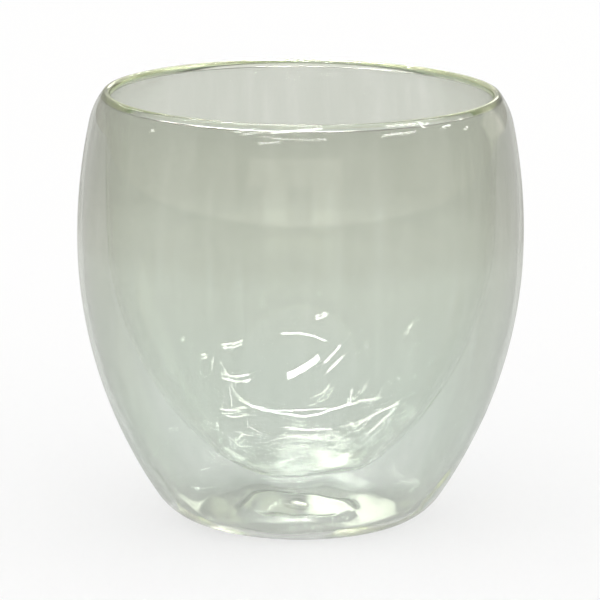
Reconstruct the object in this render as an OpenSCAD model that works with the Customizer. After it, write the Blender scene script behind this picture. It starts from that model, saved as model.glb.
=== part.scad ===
// Double walled glass cup. An inner bowl and an outer shell of blown glass are fused together at the rim,
// with still air sealed between them, and a soft plug closes the vent hole in the hollow of the base.
// Sizes are in millimetres. The cup stands on z = 0 and turns about the z axis.

/* [Mouth and rim] */
// Inside diameter of the mouth
mouth_d = 75; // [60:0.5:90]
// Rounding of the rim towards the drink
rim_in_round = 0.8; // [0.4:0.1:1.4]
// Rounding of the rim towards the outside
rim_out_round = 0.8; // [0.4:0.1:1.4]
// Rounding of the top of the air gap under the fused rim
gap_round = 0.15; // [0.1:0.05:0.4]

/* [Outer shell] */
// Overall height of the cup
cup_h = 85.5; // [76:0.5:100]
// Height of the widest ring of the belly
belly_z = 56.5; // [46:0.5:64]
// Air gap between the two walls at the belly
belly_gap = 4.7; // [3:0.1:7]
// Radius of the shoulder between the side and the rim
shoulder_r = 14; // [11:0.5:18]
// Slope of the shoulder where the rim's rounding begins, in degrees from upright
shoulder_turn = 38; // [34:1:48]
// Thickness of the outer wall
outer_wall = 0.9; // [0.8:0.1:1.5]
// Diameter of the flat foot
foot_d = 37; // [30:0.5:46]
// Rounding between the foot and the side
foot_round = 12; // [8:0.5:16]

/* [Inner bowl] */
// Thickness of the inner wall
inner_wall = 0.9; // [0.8:0.1:1.5]
// Length of straight wall below the fused rim
straight_h = 23.5; // [14:0.5:30]
// Diameter of the flat middle of the floor, measured under the bowl
floor_d = 19; // [10:0.5:26]
// Rounding between the floor and the side, measured under the bowl
floor_round = 12; // [8:0.5:18]
// Air gap between the foot and the floor of the bowl
base_gap = 9.6; // [6:0.1:13]

/* [Hollow of the base] */
// Width of the ring that the cup stands on
ring_w = 5; // [3.5:0.25:6.5]
// Height of the hollow inside that ring
hollow_h = 1; // [0.8:0.1:1.6]
// Diameter of the flat middle of the hollow
seat_d = 18; // [14:0.5:20]
// Diameter of the vent hole
vent_d = 4; // [3:0.1:5]

/* [Vent plug] */
// How far the head stands out past the vent hole, all round
head_out = 1.5; // [0.8:0.1:2]
// Height of the head above the table
head_lift = 0.4; // [0.2:0.1:0.6]
// Rounding of the head's lower edge
head_round = 0.3; // [0.1:0.05:0.35]
// Clearance between the plug and the vent hole
plug_clearance = 0.05; // [0.02:0.01:0.1]
// How far the barb stands out past the vent hole, all round
barb_out = 0.4; // [0.2:0.05:0.8]
// Height of the barb
barb_h = 1.2; // [0.8:0.1:2]
// Diameter of the barb's tip
barb_tip_d = 2.4; // [1.6:0.1:3]

/* [Hidden] */
$fn = 180;
// Steps along each arc of a profile
arc_steps = 20;
// Points of a profile closer than this are one point
same_point = 0.001;

// Radii of the upright walls
mouth_r = mouth_d / 2;
bowl_r = mouth_r + inner_wall;
belly_r = bowl_r + belly_gap + outer_wall;

// Rim: two roundings that share its crest
rim_out_c = [mouth_r + rim_in_round, cup_h - rim_out_round];
rim_in_c = [mouth_r + rim_in_round, cup_h - rim_in_round];

// Outer shell above the belly: one arc, tangent to the shoulder, which is tangent to the rim's outer rounding
shoulder_c = rim_out_c - (shoulder_r - rim_out_round) * [cos(shoulder_turn), sin(shoulder_turn)];
upper_r = tangent_radius(belly_r - shoulder_c.x, shoulder_c.y - belly_z, shoulder_r);
upper_c = [belly_r - upper_r, belly_z];
upper_a = between(upper_c, shoulder_c);

// Fused rim: it begins where the round top of the air gap does, which touches both walls
gap_x = bowl_r + gap_round;
gap_c = [gap_x, shoulder_c.y + sqrt(pow(shoulder_r - outer_wall - gap_round, 2) - pow(gap_x - shoulder_c.x, 2))];
gap_a = between(shoulder_c, gap_c);
weld_z = gap_c.y;

// Outer shell below the belly: one arc, tangent to the foot's rounding
foot_r = foot_d / 2;
foot_c = [foot_r, foot_round];
side_r = tangent_radius(belly_r - foot_c.x, belly_z - foot_c.y, foot_round);
side_c = [belly_r - side_r, belly_z];
side_a = between(side_c, foot_c);

// Hollow of the base: two arcs of one radius from the flat seat down to the ring
vent_r = vent_d / 2;
head_r = vent_r + head_out;
seat_r = seat_d / 2;
hollow_r = foot_r - ring_w;
hollow_round = (pow(hollow_r - seat_r, 2) + pow(hollow_h, 2)) / (4 * hollow_h);
hollow_top_c = [seat_r, hollow_h - hollow_round];
hollow_edge_c = [hollow_r, hollow_round];
hollow_a = between(hollow_top_c, hollow_edge_c);

// Inner bowl: straight wall, side arc, rounding and flat floor
bowl_z = outer_wall + base_gap;
straight_z = weld_z - straight_h;
floor_c = [floor_d / 2, bowl_z + floor_round];
bowl_side_r = tangent_radius(bowl_r - floor_c.x, straight_z - floor_c.y, floor_round);
bowl_side_c = [bowl_r - bowl_side_r, straight_z];
bowl_a = between(bowl_side_c, floor_c);

// Vent plug
stem_r = vent_r - plug_clearance;
barb_r = vent_r + barb_out;
barb_z = hollow_h + outer_wall + plug_clearance;

// Radius of an arc that leaves an upright wall and ends tangent inside a circle of radius r,
// whose centre lies dx in from the wall and dz above or below the arc's start
function tangent_radius(dx, dz, r) = (dx * dx + dz * dz - r * r) / (2 * (dx - r));

// Direction from one centre to another
function between(from, to) = atan2(to.y - from.y, to.x - from.x);

function arc(centre, r, a0, a1) =
    [for (i = [0:arc_steps]) let (a = a0 + (a1 - a0) * i / arc_steps) centre + r * [cos(a), sin(a)]];

function reversed(points) = [for (i = [len(points) - 1:-1:0]) points[i]];

function joined(points) =
    [for (i = [0:len(points) - 1]) if (i == 0 || norm(points[i] - points[i - 1]) > same_point) points[i]];

// Direction on the shoulder at the height of the weld, inset into the wall
function weld_a(inset) = asin((weld_z - shoulder_c.y) / (shoulder_r - inset));

// Underside of the shell from the vent hole to the ring, inset into the wall
function base_line(inset) = concat(
    [[vent_r, hollow_h + inset]],
    arc(hollow_top_c, hollow_round + inset, 90, hollow_a),
    arc(hollow_edge_c, hollow_round - inset, hollow_a + 180, 270)
);

// Side of the shell from the foot to the weld, inset into the wall
function side_line(inset) = concat(
    arc(foot_c, foot_round - inset, -90, side_a),
    arc(side_c, side_r - inset, side_a, 0),
    arc(upper_c, upper_r - inset, 0, upper_a),
    arc(shoulder_c, shoulder_r - inset, upper_a, weld_a(inset))
);

function shell_line(inset) = concat(base_line(inset), side_line(inset));

// Bowl from the axis to the weld, inset into the wall
function bowl_line(inset) = concat(
    [[0, bowl_z + inset]],
    arc(floor_c, floor_round - inset, -90, bowl_a),
    arc(bowl_side_c, bowl_side_r - inset, bowl_a, 0),
    [[bowl_r - inset, weld_z]]
);

// A solid of revolution between a line and the same line inset by a wall
module turned(line, inset_line) {
    rotate_extrude() polygon(joined(concat(line, reversed(inset_line))));
}

module inner_bowl() {
    color([0.80, 0.84, 0.79, 0.45]) turned(bowl_line(0), bowl_line(inner_wall));
}

module outer_shell() {
    color([0.73, 0.76, 0.71, 0.45]) turned(shell_line(0), shell_line(outer_wall));
}

// The ring of melted glass that joins the two walls, with the round top of the air gap under it
module rim_weld() {
    under = concat(
        [[mouth_r, weld_z]],
        arc(gap_c, gap_round, 180, gap_a),
        arc(shoulder_c, shoulder_r - outer_wall, gap_a, weld_a(outer_wall))
    );
    over = concat(
        arc(shoulder_c, shoulder_r, weld_a(0), shoulder_turn),
        arc(rim_out_c, rim_out_round, shoulder_turn, 90),
        arc(rim_in_c, rim_in_round, 90, 180)
    );
    color([0.69, 0.72, 0.54, 0.6]) rotate_extrude() polygon(joined(concat(under, over)));
}

module vent_plug() {
    head = concat([[0, head_lift]], arc([head_r - head_round, head_lift + head_round], head_round, -90, 0));
    stem = [[head_r, hollow_h], [stem_r, hollow_h], [stem_r, barb_z]];
    barb = [[barb_r, barb_z], [barb_tip_d / 2, barb_z + barb_h], [0, barb_z + barb_h]];
    color([0.86, 0.85, 0.74]) rotate_extrude() polygon(joined(concat(head, stem, barb)));
}

inner_bowl();
outer_shell();
rim_weld();
vent_plug();
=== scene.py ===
"""Looks of a double walled glass cup.

The glass walls, the fused rim and the vent plug are turned finely and stand in a pale room.
"""

import math

import bpy
from mathutils import Matrix, Vector


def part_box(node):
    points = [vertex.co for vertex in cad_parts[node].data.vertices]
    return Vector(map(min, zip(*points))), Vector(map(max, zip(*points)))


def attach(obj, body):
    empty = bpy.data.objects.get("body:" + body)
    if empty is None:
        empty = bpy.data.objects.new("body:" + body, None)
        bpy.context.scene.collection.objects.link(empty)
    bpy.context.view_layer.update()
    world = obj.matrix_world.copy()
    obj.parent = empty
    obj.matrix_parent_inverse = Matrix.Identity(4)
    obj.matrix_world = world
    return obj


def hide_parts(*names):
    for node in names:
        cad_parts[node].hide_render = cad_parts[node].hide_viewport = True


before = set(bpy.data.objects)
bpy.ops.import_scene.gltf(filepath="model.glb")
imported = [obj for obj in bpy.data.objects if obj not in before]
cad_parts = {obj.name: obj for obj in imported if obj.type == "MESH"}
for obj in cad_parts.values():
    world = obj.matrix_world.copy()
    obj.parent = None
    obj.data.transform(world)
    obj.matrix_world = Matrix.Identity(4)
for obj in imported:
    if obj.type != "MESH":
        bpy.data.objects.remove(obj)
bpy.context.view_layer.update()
scene = bpy.context.scene

# Sizes of the glass that the frame's boxes don't give, in metres
INNER_WALL = 0.0009
OUTER_WALL = 0.0009
RIM_IN_ROUND = 0.0008
RIM_OUT_ROUND = 0.0008
GAP_ROUND = 0.00015
BELLY_Z = 0.0565
SHOULDER_R = 0.014
SHOULDER_TURN = math.radians(38)
FOOT_R = 0.0185
FOOT_ROUND = 0.012
STRAIGHT_H = 0.0235
FLOOR_R = 0.0095
FLOOR_ROUND = 0.012
RING_W = 0.005
HOLLOW_H = 0.001
SEAT_R = 0.009
VENT_R = 0.002
PLUG_CLEARANCE = 0.00005
HEAD_ROUND = 0.0003
BARB_OUT = 0.0004
BARB_TIP_R = 0.0012

# Sizes that the frame gives
shell_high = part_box("outer_shell")[1]
bowl_low, bowl_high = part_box("inner_bowl")
plug_low, plug_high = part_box("vent_plug")
belly_r = shell_high.x
weld_z = shell_high.z
cup_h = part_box("rim_weld")[1].z
bowl_r = bowl_high.x
bowl_z = bowl_low.z
head_r = plug_high.x
mouth_r = bowl_r - INNER_WALL

# The photograph's camera: distance and height in metres, tilt and roll in radians, and focal length in pixels
# of the photograph's frame
PHOTO_PX = 600
CAMERA_AWAY = 0.8
CAMERA_Z = 0.2208
CAMERA_DOWN = 0.2181
CAMERA_ROLL = math.radians(0.45)
FOCAL_PX = 4140
SENSOR_MM = 36

# How finely the pieces are turned: steps round the axis, and along each arc and line of a profile
TURN_STEPS = 288
ARC_STEPS = 40
SMALL_ARC_STEPS = 16
FLOOR_STEPS = 8
STRAIGHT_STEPS = 16
SEAT_STEPS = 5
HOLLOW_STEPS = 8
RING_STEPS = 2
FOOT_STEPS = 32
UPPER_STEPS = 32
SHOULDER_STEPS = 42
GAP_SIDE_STEPS = 4
RIM_SIDE_STEPS = 6
HEAD_STEPS = 6
# Points closer than this, in metres, are one point
SAME_POINT = 1e-7

# Blown glass is never quite even: depth of its waves on faces that are touched and in the gap, how much
# deeper they are low down, and the heights between which they grow deeper in the bowl and in the shell
OUTSIDE_WAVE = 0.000005
GAP_WAVE = 0.00001
LOW_WAVE = 8
BOWL_LOW_Z = (0.0115, 0.017)
SHELL_LOW_Z = (0.012, 0.032)
# Length over which the waves fade out at the weld, the foot and the axis
WAVE_FADE = 0.004
# The phases of the waves on a face start from this number of radians
WAVE_PHASE = 1.7
# Each wave: its turns per metre along x, y and z, and its share of the depth
WAVES = (
    (38, 21, 30, 0.5),
    (-25, 44, -18, 0.5),
    (61, -52, 47, 0.28),
    (47, 73, -66, 0.22),
    (-93, 58, 71, 0.12),
    (88, 101, 54, 0.1),
    (170, -120, 140, 0.08),
    (-150, 190, 160, 0.06),
)


def add_camera():
    data = bpy.data.cameras.new("photo_camera")
    data.sensor_width = SENSOR_MM
    data.lens = FOCAL_PX * SENSOR_MM / PHOTO_PX
    camera = bpy.data.objects.new("photo_camera", data)
    scene.collection.objects.link(camera)
    tilt = Matrix.Rotation(math.pi / 2 - CAMERA_DOWN, 4, "X") @ Matrix.Rotation(CAMERA_ROLL, 4, "Z")
    camera.matrix_world = Matrix.Translation((0, -CAMERA_AWAY, CAMERA_Z)) @ tilt
    scene.camera = camera


# Profiles are lists of (radius, height). A piece's faces take their materials from these places in its list
GLASS_SLOT, JOINT_SLOT, SEAM_SHADE_SLOT = range(3)


def arc(centre, radius, start, end, steps=ARC_STEPS):
    """Points of an arc between two directions, in radians."""
    turns = [start + (end - start) * i / steps for i in range(steps + 1)]
    return [(centre[0] + radius * math.cos(a), centre[1] + radius * math.sin(a)) for a in turns]


def line(start, end, steps):
    """Points of a straight line between two points."""
    shares = [i / steps for i in range(steps + 1)]
    return [tuple(a + (b - a) * s for a, b in zip(start, end)) for s in shares]


def joined(*runs):
    """Runs of points as one run, with each shared end once."""
    points = []
    for run in runs:
        for p in run:
            if not points or math.dist(p, points[-1]) > SAME_POINT:
                points.append(p)
    return points


def tangent_radius(dx, dz, r):
    """Radius of an arc that leaves an upright wall and ends tangent inside a circle of radius r.

    The circle's centre lies dx in from the wall, and dz above or below the arc's start.
    """
    return (dx * dx + dz * dz - r * r) / (2 * (dx - r))


def between(start, end):
    """Direction from one centre to another."""
    return math.atan2(end[1] - start[1], end[0] - start[0])


rim_out_c = (mouth_r + RIM_IN_ROUND, cup_h - RIM_OUT_ROUND)
rim_in_c = (mouth_r + RIM_IN_ROUND, cup_h - RIM_IN_ROUND)
shoulder_c = (
    rim_out_c[0] - (SHOULDER_R - RIM_OUT_ROUND) * math.cos(SHOULDER_TURN),
    rim_out_c[1] - (SHOULDER_R - RIM_OUT_ROUND) * math.sin(SHOULDER_TURN),
)
upper_r = tangent_radius(belly_r - shoulder_c[0], shoulder_c[1] - BELLY_Z, SHOULDER_R)
upper_c = (belly_r - upper_r, BELLY_Z)
upper_turn = between(upper_c, shoulder_c)
gap_c = (bowl_r + GAP_ROUND, weld_z)
gap_turn = between(shoulder_c, gap_c)
foot_c = (FOOT_R, FOOT_ROUND)
side_r = tangent_radius(belly_r - FOOT_R, BELLY_Z - FOOT_ROUND, FOOT_ROUND)
side_c = (belly_r - side_r, BELLY_Z)
straight_z = weld_z - STRAIGHT_H
floor_c = (FLOOR_R, bowl_z + FLOOR_ROUND)
bowl_side_r = tangent_radius(bowl_r - FLOOR_R, straight_z - floor_c[1], FLOOR_ROUND)
bowl_side_c = (bowl_r - bowl_side_r, straight_z)
hollow_r = FOOT_R - RING_W
hollow_round = ((hollow_r - SEAT_R) ** 2 + HOLLOW_H**2) / (4 * HOLLOW_H)
hollow_top_c = (SEAT_R, HOLLOW_H - hollow_round)
hollow_edge_c = (hollow_r, hollow_round)


def weld_turn(inset):
    """Direction on the shoulder at the height of the weld."""
    return math.asin((weld_z - shoulder_c[1]) / (SHOULDER_R - inset))


def bowl_run(inset):
    """The bowl from its axis to the weld."""
    turn = between(bowl_side_c, floor_c)
    return joined(
        line((0, bowl_z + inset), (FLOOR_R, bowl_z + inset), FLOOR_STEPS),
        arc(floor_c, FLOOR_ROUND - inset, -math.pi / 2, turn),
        arc(bowl_side_c, bowl_side_r - inset, turn, 0),
        line((bowl_r - inset, straight_z), (bowl_r - inset, weld_z), STRAIGHT_STEPS),
    )


def shell_run(inset):
    """The shell from the vent hole, under the base and up the side to the weld."""
    hollow_turn = between(hollow_top_c, hollow_edge_c)
    side_turn = between(side_c, foot_c)
    return joined(
        line((VENT_R, HOLLOW_H + inset), (SEAT_R, HOLLOW_H + inset), SEAT_STEPS),
        arc(hollow_top_c, hollow_round + inset, math.pi / 2, hollow_turn, HOLLOW_STEPS),
        arc(hollow_edge_c, hollow_round - inset, hollow_turn + math.pi, 1.5 * math.pi, HOLLOW_STEPS),
        line((hollow_r, inset), (FOOT_R, inset), RING_STEPS),
        arc(foot_c, FOOT_ROUND - inset, -math.pi / 2, side_turn, FOOT_STEPS),
        arc(side_c, side_r - inset, side_turn, 0),
        arc(upper_c, upper_r - inset, 0, upper_turn, UPPER_STEPS),
        arc(shoulder_c, SHOULDER_R - inset, upper_turn, weld_turn(inset), SHOULDER_STEPS),
    )


def rim_runs():
    """The rim's faces: on the bowl's wall, the top of the gap, on the shell's wall, and over the top."""
    roof = joined(
        arc(gap_c, GAP_ROUND, math.pi, gap_turn, SMALL_ARC_STEPS),
        arc(shoulder_c, SHOULDER_R - OUTER_WALL, gap_turn, weld_turn(OUTER_WALL), GAP_SIDE_STEPS),
    )
    over = joined(
        arc(shoulder_c, SHOULDER_R, weld_turn(0), SHOULDER_TURN),
        arc(rim_out_c, RIM_OUT_ROUND, SHOULDER_TURN, math.pi / 2, SMALL_ARC_STEPS),
        arc(rim_in_c, RIM_IN_ROUND, math.pi / 2, math.pi, SMALL_ARC_STEPS),
        line((mouth_r, cup_h - RIM_IN_ROUND), (mouth_r, weld_z), RIM_SIDE_STEPS),
    )
    return [
        ([(mouth_r, weld_z), (bowl_r, weld_z)], JOINT_SLOT),
        (roof, SEAM_SHADE_SLOT),
        ([roof[-1], over[0]], JOINT_SLOT),
        (over, GLASS_SLOT),
    ]


def plug_runs():
    """The vent plug's faces from the axis under its head to the axis at its tip."""
    stem_r = VENT_R - PLUG_CLEARANCE
    barb_r = VENT_R + BARB_OUT
    barb_z = HOLLOW_H + OUTER_WALL + PLUG_CLEARANCE
    head = joined(
        line((0, plug_low.z), (head_r - HEAD_ROUND, plug_low.z), HEAD_STEPS),
        arc((head_r - HEAD_ROUND, plug_low.z + HEAD_ROUND), HEAD_ROUND, -math.pi / 2, 0, SMALL_ARC_STEPS),
        [(head_r, HOLLOW_H)],
    )
    corners = [
        (head_r, HOLLOW_H),
        (stem_r, HOLLOW_H),
        (stem_r, barb_z),
        (barb_r, barb_z),
        (BARB_TIP_R, plug_high.z),
        (0, plug_high.z),
    ]
    return [(head, 0)] + [([a, b], 0) for a, b in zip(corners, corners[1:])]


def wave(x, y, z, phase):
    """How far blown glass wanders from its true surface at a place, as a share of the depth of its waves."""
    out = 0
    for number, (a, b, c, share) in enumerate(WAVES):
        out += share * math.sin(2 * math.pi * (a * x + b * y + c * z) + phase * (WAVE_PHASE + number))
    return out


def fade(distance, reach=WAVE_FADE):
    """Rises smoothly from 0 to 1 over a reach."""
    s = min(1, max(0, distance / reach))
    return s * s * (3 - 2 * s)


def wave_depth(r, z, depth, low_z):
    """Depth of the waves on a profile: deeper low down, and fading out at the weld, the foot and the axis."""
    low = 1 + LOW_WAVE * (1 - fade(z - low_z[0], low_z[1] - low_z[0]))
    return depth * low * fade(weld_z - z) * fade(z - HOLLOW_H) * fade(r)


def normal_at(points, i):
    """Unit vector across a profile at one of its points."""
    (r0, z0), (r1, z1) = points[max(0, i - 1)], points[min(len(points) - 1, i + 1)]
    length = math.hypot(r1 - r0, z1 - z0)
    return (z1 - z0) / length, (r0 - r1) / length


def turned(name, runs, materials, depths=None, low_z=SHELL_LOW_Z):
    """A closed solid of revolution.

    Each run is a smooth face with the place of its material in the list, and runs meet in sharp corners.
    depths gives the depth of the waves of each run, and low_z the heights between which they grow deeper.
    """
    verts, faces, slots, rings, sharp = [], [], [], [], set()
    depths = depths or [0] * len(runs)
    first_ring = None
    for number, (points, slot) in enumerate(runs):
        for i, (r, z) in enumerate(points):
            closing = number == len(runs) - 1 and i == len(points) - 1
            if i == 0 and rings:
                continue
            if closing and math.dist(points[-1], runs[0][0][0]) < SAME_POINT:
                ring = first_ring
            elif r < SAME_POINT:
                ring = [len(verts)]
                verts.append((0, 0, z))
            else:
                ring = list(range(len(verts), len(verts) + TURN_STEPS))
                depth = wave_depth(r, z, depths[number], low_z)
                across = normal_at(points, i)
                for k in range(TURN_STEPS):
                    turn = 2 * math.pi * k / TURN_STEPS
                    x, y = math.cos(turn), math.sin(turn)
                    off = depth * (wave(r * x, r * y, z, number + 1) - 1) if depth else 0
                    out = r + off * across[0]
                    verts.append((out * x, out * y, z + off * across[1]))
            if rings:
                strip = ring_faces(rings[-1], ring)
                faces += strip
                slots += [slot] * len(strip)
            rings.append(ring)
            first_ring = first_ring or ring
        for ring in (rings[-1], first_ring):
            if len(ring) > 1:
                sharp.update(frozenset((ring[k - 1], ring[k])) for k in range(TURN_STEPS))
    mesh = bpy.data.meshes.new(name)
    mesh.from_pydata(verts, [], faces)
    for material in materials:
        mesh.materials.append(material)
    mesh.polygons.foreach_set("material_index", slots)
    mesh.polygons.foreach_set("use_smooth", [True] * len(faces))
    corners = mesh.attributes.new("sharp_edge", "BOOLEAN", "EDGE")
    corners.data.foreach_set("value", [frozenset(e.vertices) in sharp for e in mesh.edges])
    mesh.update()
    piece = bpy.data.objects.new(name, mesh)
    scene.collection.objects.link(piece)
    return piece


def ring_faces(low, high):
    """Faces between two rings, either of which may be a single point on the axis."""
    faces = []
    for k in range(TURN_STEPS):
        n = (k + 1) % TURN_STEPS
        if len(low) == 1:
            faces.append((low[0], high[n], high[k]))
        elif len(high) == 1:
            faces.append((low[k], low[n], high[0]))
        else:
            faces.append((low[k], low[n], high[n], high[k]))
    return faces


# Materials


def new_material(name):
    material = bpy.data.materials.new(name)
    material.use_nodes = True
    tree = material.node_tree
    tree.nodes.clear()
    output = tree.nodes.new("ShaderNodeOutputMaterial")
    return material, tree, output


def noise(tree, place, scale, detail, stretch=(1, 1, 1)):
    """A noise texture over the object's own coordinates, in metres."""
    mapping = tree.nodes.new("ShaderNodeMapping")
    mapping.inputs["Scale"].default_value = stretch
    tree.links.new(place, mapping.inputs["Vector"])
    texture = tree.nodes.new("ShaderNodeTexNoise")
    texture.inputs["Scale"].default_value = scale
    texture.inputs["Detail"].default_value = detail
    tree.links.new(mapping.outputs["Vector"], texture.inputs["Vector"])
    return texture.outputs["Fac"]


def map_range(tree, value, from_low, from_high, to_low, to_high):
    node = tree.nodes.new("ShaderNodeMapRange")
    for socket, number in zip(node.inputs[1:5], (from_low, from_high, to_low, to_high)):
        socket.default_value = number
    tree.links.new(value, node.inputs["Value"])
    return node.outputs["Result"]


def combined(tree, operation, first, second):
    """Two values put together by one of the Math node's operations."""
    node = tree.nodes.new("ShaderNodeMath")
    node.operation = operation
    tree.links.new(first, node.inputs[0])
    tree.links.new(second, node.inputs[1])
    return node.outputs["Value"]


def mix_colours(tree, share, first, second, blend="MIX"):
    node = tree.nodes.new("ShaderNodeMix")
    node.data_type = "RGBA"
    node.blend_type = blend
    if share is None:
        node.inputs["Factor"].default_value = 1
    else:
        tree.links.new(share, node.inputs["Factor"])
    for socket, colour in (("A", first), ("B", second)):
        target = [s for s in node.inputs if s.name == socket and s.type == "RGBA"][0]
        if isinstance(colour, bpy.types.NodeSocket):
            tree.links.new(colour, target)
        else:
            target.default_value = (*colour, 1)
    return [s for s in node.outputs if s.type == "RGBA"][0]


def ramp(tree, value, stops):
    """A colour that runs smoothly through stops of (value, colour)."""
    node = tree.nodes.new("ShaderNodeValToRGB")
    node.color_ramp.interpolation = "EASE"
    for number, (at, colour) in enumerate(stops):
        spot = node.color_ramp.elements[number] if number < 2 else node.color_ramp.elements.new(at)
        spot.position = at
        spot.color = (*colour, 1)
    tree.links.new(value, node.inputs["Fac"])
    return node.outputs["Color"]


def by_height(tree, height, stops):
    """A tint that runs through stops from the foot to the top of the cup."""
    return ramp(tree, map_range(tree, height, 0, cup_h, 0, 1), stops)


def edge_on(tree, tint, edge):
    """A wall that is seen edge on shows more of its colour: its tint is multiplied by the stops of edge."""
    facing = tree.nodes.new("ShaderNodeLayerWeight").outputs["Facing"]
    return mix_colours(tree, None, tint, ramp(tree, facing, edge), "MULTIPLY")


def bowl_tint(tree, height, radius):
    return by_height(tree, height, BOWL_TINTS)


# The shell's tint with painted light: clearer low down, to offset the cup's shadow seen through the base
def shell_tint_and_painted_light(tree, height, radius):
    return edge_on(tree, by_height(tree, height, SHELL_TINTS_AND_PAINTED_LIGHT), SHELL_EDGE)


def rim_tint(tree, height, radius):
    """The crest's tint on top, the shell's outside, and yellow-green in the solid glass towards the drink."""
    outward = map_range(tree, radius, *RIM_BLEND_R, 0, 1)
    walls = mix_colours(tree, outward, edge_on(tree, RIM_CREST, RIM_EDGE), shell_tint_and_painted_light(tree, height, radius))
    solid = map_range(tree, height, *RIM_SOLID_Z, 0, 1)
    inward = map_range(tree, radius, *RIM_SOLID_R, 1, 0)
    return mix_colours(tree, combined(tree, "MULTIPLY", solid, inward), walls, RIM_TINT)


def trapped(tree, tint):
    """Light that a face throws back into the glass only takes on a little of the glass's own colour."""
    facing = tree.nodes.new("ShaderNodeLayerWeight").outputs["Facing"]
    inside = tree.nodes.new("ShaderNodeNewGeometry").outputs["Backfacing"]
    share = combined(tree, "MULTIPLY", inside, map_range(tree, facing, *TRAPPED_FACING, 0, 1))
    return mix_colours(tree, share, tint, TRAPPED_TINT)


def seam_painted_shade(tree, height, radius):
    """Painted shade: the narrow top of the air gap gets a dark colour, so that it shows as a dark line."""
    return SEAM_PAINTED_SHADE


def glass(name, tint, satin=0, smudge=0.02, striae=0.008):
    """Blown glass with faint drawn streaks and handling marks, whose tint follows the height and radius."""
    material, tree, output = new_material(name)
    place = tree.nodes.new("ShaderNodeTexCoord").outputs["Object"]
    split = tree.nodes.new("ShaderNodeSeparateXYZ")
    tree.links.new(place, split.inputs["Vector"])
    flat = tree.nodes.new("ShaderNodeVectorMath")
    flat.operation = "MULTIPLY"
    flat.inputs[1].default_value = (1, 1, 0)
    tree.links.new(place, flat.inputs[0])
    radius = tree.nodes.new("ShaderNodeVectorMath")
    radius.operation = "LENGTH"
    tree.links.new(flat.outputs["Vector"], radius.inputs[0])
    colour = tint(tree, split.outputs["Z"], radius.outputs["Value"])
    streaks = noise(tree, place, *STREAKS)
    threads = noise(tree, place, *THREADS)
    pale = mix_colours(tree, map_range(tree, streaks, *STREAK_RANGE, 0, PALE_SHARE), colour, CLEAR)
    pale = mix_colours(tree, map_range(tree, threads, *THREAD_RANGE, 0, PALE_SHARE), pale, CLEAR)
    shader = tree.nodes.new("ShaderNodeBsdfGlass")
    shader.inputs["IOR"].default_value = GLASS_IOR
    tree.links.new(trapped(tree, pale), shader.inputs["Color"])
    marks = noise(tree, place, *MARKS)
    tree.links.new(map_range(tree, marks, *MARK_RANGE, satin, satin + smudge), shader.inputs["Roughness"])
    bump = tree.nodes.new("ShaderNodeBump")
    bump.inputs["Strength"].default_value = striae
    bump.inputs["Distance"].default_value = STRIAE_DEPTH
    tree.links.new(streaks, bump.inputs["Height"])
    tree.links.new(bump.outputs["Normal"], shader.inputs["Normal"])
    tree.links.new(shader.outputs["BSDF"], output.inputs["Surface"])
    return material


def melted_joint():
    """The face where two pieces of glass have melted into one: nothing shows there."""
    material, tree, output = new_material("melted_joint")
    through = tree.nodes.new("ShaderNodeBsdfTransparent")
    tree.links.new(through.outputs["BSDF"], output.inputs["Surface"])
    return material


def silicone():
    """Clear silicone, satin and slightly uneven, which hardly shows through the base."""
    material, tree, output = new_material("silicone")
    place = tree.nodes.new("ShaderNodeTexCoord").outputs["Object"]
    grain = noise(tree, place, *GRAIN)
    shader = tree.nodes.new("ShaderNodeBsdfPrincipled")
    shader.inputs["IOR"].default_value = PLUG_IOR
    shader.inputs["Transmission Weight"].default_value = 1
    shader.inputs["Alpha"].default_value = PLUG_ALPHA
    shade = mix_colours(tree, grain, *PLUG_SHADES)
    tree.links.new(shade, shader.inputs["Base Color"])
    tree.links.new(map_range(tree, grain, *GRAIN_RANGE, *PLUG_ROUGHNESS), shader.inputs["Roughness"])
    tree.links.new(shader.outputs["BSDF"], output.inputs["Surface"])
    return material


# Drawn streaks, finer threads and handling marks in the glass, and the grain of the plug: the scale and
# detail of a noise, and how far it is stretched upwards
STREAKS = (90, 3, (1, 1, 0.12))
THREADS = (420, 2, (1, 1, 0.03))
MARKS = (55, 4)
GRAIN = (900, 3)
# The part of each noise's range over which it shows
STREAK_RANGE = (0.35, 0.7)
THREAD_RANGE = (0.5, 0.75)
MARK_RANGE = (0.52, 0.75)
GRAIN_RANGE = (0.3, 0.7)
# Streaks and threads are paler than the glass by this share, and at full strength the streaks have this depth
PALE_SHARE = 0.12
CLEAR = (1, 1, 1)
STRIAE_DEPTH = 0.0005
GLASS_IOR = 1.47
RIM_SATIN = 0.05
PLUG_IOR = 1.25
PLUG_ALPHA = 0.2
PLUG_SHADES = ((0.95, 0.945, 0.86), (0.98, 0.977, 0.92))
PLUG_ROUGHNESS = (0.5, 0.65)
# Tints of one face of the glass from the foot to the top of the cup. The shell's tints are partly painted
# light: clearer low down, to offset the cup's own shadow on the floor seen through its base, and darker
# towards the top.
BOWL_TINTS = ((0, (0.974, 0.98, 0.972)), (0.5, (0.976, 0.982, 0.974)), (0.8, (0.974, 0.98, 0.966)))
SHELL_TINTS_AND_PAINTED_LIGHT = (
    (0, (0.902, 0.915, 0.898)),
    (0.2, (0.884, 0.908, 0.886)),
    (0.45, (0.865, 0.882, 0.858)),
    (0.62, (0.866, 0.878, 0.85)),
    (0.7, (0.835, 0.842, 0.812)),
    (0.85, (0.81, 0.818, 0.788)),
)
# More of the shell's colour from face on to edge on
SHELL_EDGE = (
    (0.25, (1, 1, 1)),
    (0.6, (0.92, 0.92, 0.91)),
    (0.7, (0.905, 0.905, 0.895)),
    (0.82, (0.83, 0.83, 0.82)),
    (0.95, (0.76, 0.76, 0.75)),
)
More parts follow.
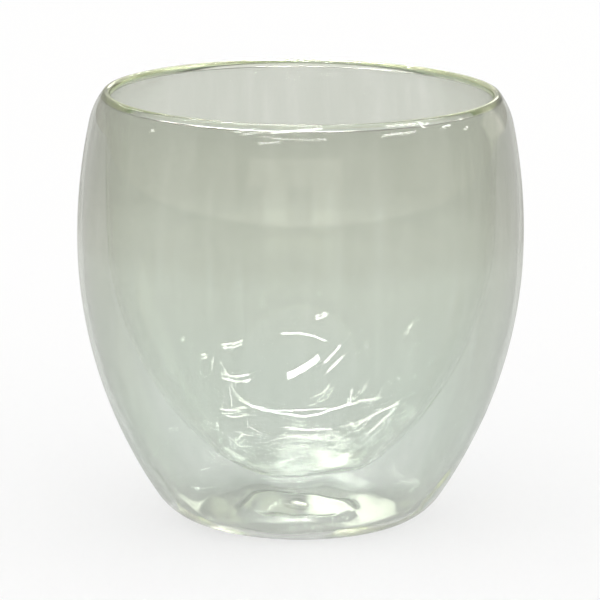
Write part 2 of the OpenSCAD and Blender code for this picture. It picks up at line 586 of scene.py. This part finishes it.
# The rim: its solid glass, its crest, a painted shade on the top of the air gap that draws a dark line, and
# the crest's colour from face on to edge on
RIM_TINT = (0.885, 0.9, 0.82)
RIM_CREST = (0.96, 0.965, 0.94)
SEAM_PAINTED_SHADE = (0.36, 0.37, 0.33)
RIM_EDGE = ((0.25, (1, 1, 1)), (0.6, (0.75, 0.76, 0.72)))
# The heights and radii over which the rim's tints come in
RIM_SOLID_Z = (gap_c[1] + GAP_ROUND, gap_c[1] + 2 * GAP_ROUND)
RIM_SOLID_R = (mouth_r + 0.0003, mouth_r + 0.0006)
RIM_BLEND_R = (rim_out_c[0] + 0.0003, rim_out_c[0] + 0.001)
# Light that is thrown back inside the glass, and the facing past which a face does that
TRAPPED_TINT = (0.9964, 0.9968, 0.9947)
TRAPPED_FACING = (0.24, 0.3)

# The pieces

joint = melted_joint()
bowl_material = glass("bowl_glass", bowl_tint)
shell_material = glass("shell_glass", shell_tint_and_painted_light)
rim_material = glass("rim_glass", rim_tint, satin=RIM_SATIN, striae=0)
# The top of the air gap has a painted shade: a dark colour that draws the dark line below the rim's crest
seam_shade_material = glass("rim_seam_painted_shade", seam_painted_shade, striae=0)
plug_material = silicone()

bowl = turned(
    "bowl_glass",
    [
        (bowl_run(0), GLASS_SLOT),
        ([(bowl_r, weld_z), (mouth_r, weld_z)], JOINT_SLOT),
        (bowl_run(INNER_WALL)[::-1], GLASS_SLOT),
    ],
    [bowl_material, joint],
    [GAP_WAVE, 0, OUTSIDE_WAVE],
    BOWL_LOW_Z,
)
shell = turned(
    "shell_glass",
    [
        (shell_run(0), GLASS_SLOT),
        ([shell_run(0)[-1], shell_run(OUTER_WALL)[-1]], JOINT_SLOT),
        (shell_run(OUTER_WALL)[::-1], GLASS_SLOT),
        ([(VENT_R, HOLLOW_H + OUTER_WALL), (VENT_R, HOLLOW_H)], GLASS_SLOT),
    ],
    [shell_material, joint],
    [OUTSIDE_WAVE, 0, GAP_WAVE, 0],
)
rim = turned("rim_glass", rim_runs(), [rim_material, joint, seam_shade_material])
plug = turned("plug_silicone", plug_runs(), [plug_material])

for piece, node, slot in (
    (bowl, "inner_bowl", "inner_glass"),
    (shell, "outer_shell", "outer_glass"),
    (rim, "rim_weld", "rim_glass"),
    (plug, "vent_plug", "plug_silicone"),
):
    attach(piece, "root")
    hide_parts(node)


# The room: a pale floor and soft light from all round, with lamps that only show as reflections in the glass:
# tubes across the ceiling, and windows in front, behind and at the right

FLOOR_HALF = 8
FLOOR_Z = -0.0003
# The floor is partly a plain white where it is seen, so that the cup's shadow stays faint
FLOOR_WHITE = (0.97, 0.97, 0.97)
FLOOR_SHARE = 0.65
FLOOR_COLOUR = (0.92, 0.92, 0.92)
FLOOR_ROUGHNESS = 0.8
FLOOR_SPECULAR = 0.1
# The room's light from low in front, low behind and overhead
ROOM_FRONT = (2, 1.98, 1.9)
ROOM_BACK = (0.7, 0.69, 0.64)
ROOM_HIGH = (1, 1, 1.02)
# Width, spacing, radiance and height of the tubes
TUBE_W = 0.018
TUBE_SPACING = 0.08
TUBE_RADIANCE = 50
TUBE_Z = 1.7
# Tube lamps across the ceiling: middle, turn in degrees, length and number of tubes
TUBES = (
    ((-0.09, -0.985), 20, 0.79, 2),
    ((1.75, -0.78), 41, 0.85, 2),
    ((-0.72, -2), 12, 0.53, 2),
    ((1.5, -0.2), 40, 0.95, 2),
    ((1.53, 0.63), 55, 1.1, 2),
    ((-0.2, 0.25), -15, 0.9, 2),
    ((-0.2, 1), 0, 0.9, 10),
    ((-2.1, 2), -44, 1.7, 2),
    ((-3.7, 0.35), -10, 0.7, 2),
    ((2.6, 0.4), 60, 0.4, 2),
    ((3.85, 1.3), 60, 0.4, 2),
    ((-0.4, 1.7), 4, 0.9, 2),
    ((0.9, 2.4), 4, 0.9, 2),
    ((-1.6, 2.9), 29, 0.9, 2),
)
# Single tubes end to end across the ceiling
TUBE_LINES = (
    (
        (1.97, -0.16),
        (1.74, -0.1),
        (1.53, 0.04),
        (1.3, 0.08),
        (1.06, -0.04),
        (0.7, -0.21),
        (0.31, -0.34),
        (0.03, -0.375),
        (-0.26, -0.36),
        (-0.67, -0.26),
        (-1.05, -0.09),
        (-1.41, 0.17),
        (-1.95, 0.77),
    ),
    ((0.47, -1.57), (0.02, -1.62), (-0.37, -1.54), (-0.67, -1.37)),
    ((0.28, -0.85), (-0.46, -1.12)),
    ((-0.57, -0.99), (-1.02, -1.18)),
    ((-0.63, -0.84), (-1.06, -0.96)),
    ((-1.07, -0.09), (-1.58, 0)),
    ((-1.06, -0.09), (-1.19, -0.27)),
    ((-0.93, 0.17), (-1.45, 0.66), (-1.92, 1.2), (-2.67, 2.51)),
)
# Windows: place, size, radiance and colour. Each is WINDOW_STEPS panels, smaller and nearer one by one, so
# that its edges are soft
WINDOW_STEPS = 4
WINDOW_STEP = 0.09
PANEL_STEP = 0.005
WARM = (1, 0.99, 0.88)
WINDOWS = (
    ((-0.17, -2.6, 0.57), (2.4, 0.36), 0.6, WARM),
    ((-0.59, -2.6, 0.36), (0.7, 0.72), 0.8, WARM),
    ((0.585, -2.6, 0.36), (0.73, 0.72), 0.8, WARM),
    ((0.42, 3, 0.85), (0.8, 0.5), 4, WARM),
    ((-0.3, 3, 0.85), (0.5, 0.35), 0.8, (1, 1, 0.7)),
    ((2.3, 1.9, 0.6), (1.8, 1.2), 0.7, WARM),
)


def add_floor():
    h = FLOOR_HALF
    mesh = bpy.data.meshes.new("floor")
    corners = [(-h, -h, FLOOR_Z), (h, -h, FLOOR_Z), (h, h, FLOOR_Z), (-h, h, FLOOR_Z)]
    mesh.from_pydata(corners, [], [(0, 1, 2, 3)])
    material, tree, output = new_material("pale_floor")
    shader = tree.nodes.new("ShaderNodeBsdfPrincipled")
    shader.inputs["Base Color"].default_value = (*FLOOR_COLOUR, 1)
    shader.inputs["Roughness"].default_value = FLOOR_ROUGHNESS
    shader.inputs["Specular IOR Level"].default_value = FLOOR_SPECULAR
    glow = tree.nodes.new("ShaderNodeEmission")
    glow.inputs["Color"].default_value = (*FLOOR_WHITE, 1)
    rays = tree.nodes.new("ShaderNodeLightPath")
    seen = rays.outputs["Is Camera Ray"]
    for kind in ("Is Glossy Ray", "Is Transmission Ray"):
        seen = combined(tree, "MAXIMUM", seen, rays.outputs[kind])
    both = tree.nodes.new("ShaderNodeMixShader")
    tree.links.new(map_range(tree, seen, 0, 1, 0, FLOOR_SHARE), both.inputs["Fac"])
    tree.links.new(shader.outputs["BSDF"], both.inputs[1])
    tree.links.new(glow.outputs["Emission"], both.inputs[2])
    tree.links.new(both.outputs["Shader"], output.inputs["Surface"])
    mesh.materials.append(material)
    floor = bpy.data.objects.new("floor", mesh)
    scene.collection.objects.link(floor)


def add_lamp(name, place, aim, size, radiance, turn=0, colour=(1, 1, 1)):
    """A rectangular lamp that only shows in the glass. It faces a point and is turned about its own axis."""
    data = bpy.data.lights.new(name, "AREA")
    data.shape = "RECTANGLE"
    data.size, data.size_y = size
    data.energy = radiance * math.pi * size[0] * size[1]
    data.color = colour
    lamp = bpy.data.objects.new(name, data)
    facing = (Vector(aim) - Vector(place)).to_track_quat("-Z", "Y").to_matrix().to_4x4()
    lamp.matrix_world = Matrix.Translation(place) @ facing @ Matrix.Rotation(turn, 4, "Z")
    lamp.visible_diffuse = False
    scene.collection.objects.link(lamp)


def add_tube(name, place, length, turn):
    """A tube lamp that lies level and shines down."""
    add_lamp(name, place, (place.x, place.y, 0), (length, TUBE_W), TUBE_RADIANCE, turn)


def add_lights():
    world = bpy.data.worlds.new("room")
    world.use_nodes = True
    tree = world.node_tree
    split = tree.nodes.new("ShaderNodeSeparateXYZ")
    tree.links.new(tree.nodes.new("ShaderNodeTexCoord").outputs["Generated"], split.inputs["Vector"])
    low = mix_colours(tree, map_range(tree, split.outputs["Y"], -1, 1, 0, 1), ROOM_FRONT, ROOM_BACK)
    room = mix_colours(tree, map_range(tree, split.outputs["Z"], 0, 1, 0, 1), low, ROOM_HIGH)
    tree.links.new(room, tree.nodes["Background"].inputs["Color"])
    scene.world = world
    for number, (middle, degrees, length, count) in enumerate(TUBES):
        turn = math.radians(degrees)
        across = Vector((-math.sin(turn), math.cos(turn), 0))
        for tube in range(count):
            place = Vector((*middle, TUBE_Z)) + (tube - (count - 1) / 2) * TUBE_SPACING * across
            add_tube(f"tube_{number}_{tube}", place, length, turn)
    for number, points in enumerate(TUBE_LINES):
        for tube, (start, end) in enumerate(zip(points, points[1:])):
            middle = Vector((start[0] + end[0], start[1] + end[1])) / 2
            turn = math.atan2(end[1] - start[1], end[0] - start[0])
            add_tube(f"line_{number}_{tube}", Vector((*middle, TUBE_Z)), math.dist(start, end), turn)
    for number, (place, size, radiance, colour) in enumerate(WINDOWS):
        for step in range(WINDOW_STEPS):
            inner = [s - WINDOW_STEP * step * min(size) for s in size]
            near = (place[0], place[1] * (1 - PANEL_STEP * step), place[2])
            share = radiance / WINDOW_STEPS
            add_lamp(f"window_{number}_{step}", near, (near[0], 0, near[2]), inner, share, colour=colour)


RIM_BOUNCES = 400
JOINT_BOUNCES = 64

add_camera()
add_floor()
add_lights()

scene.view_settings.view_transform = "Standard"
# Light runs round inside the rim for hundreds of bounces
scene.cycles.max_bounces = RIM_BOUNCES
scene.cycles.transmission_bounces = RIM_BOUNCES
scene.cycles.glossy_bounces = RIM_BOUNCES
scene.cycles.transparent_max_bounces = JOINT_BOUNCES
scene.cycles.sample_clamp_indirect = 0
